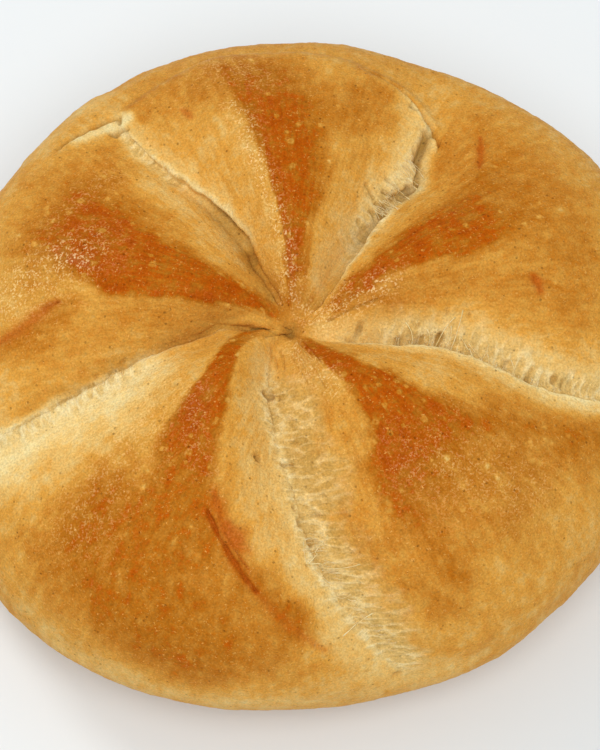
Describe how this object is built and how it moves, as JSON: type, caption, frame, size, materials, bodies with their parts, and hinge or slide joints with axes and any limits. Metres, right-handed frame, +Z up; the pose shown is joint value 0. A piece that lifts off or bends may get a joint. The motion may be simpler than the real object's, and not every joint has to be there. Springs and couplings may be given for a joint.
{
  "type": "kaiser roll",
  "caption": "Round bread roll folded into curved lobes that meet in a pit at the centre of its domed top, with a flat base.",
  "frame": {"origin": "middle of the flat base, on the surface that the roll rests on", "axes": "+Z up, from the flat base to the pit in the top; +Y towards the back lobe, whose end is a rounded tongue; +X to the right of it"},
  "size_m": [0.1082, 0.1016, 0.0441],
  "materials": {
    "crust": "satin baked crust, golden brown, paler along the seams"
  },
  "bodies": {
    "root": {"roll": "crust"}
  },
  "joints": []
}
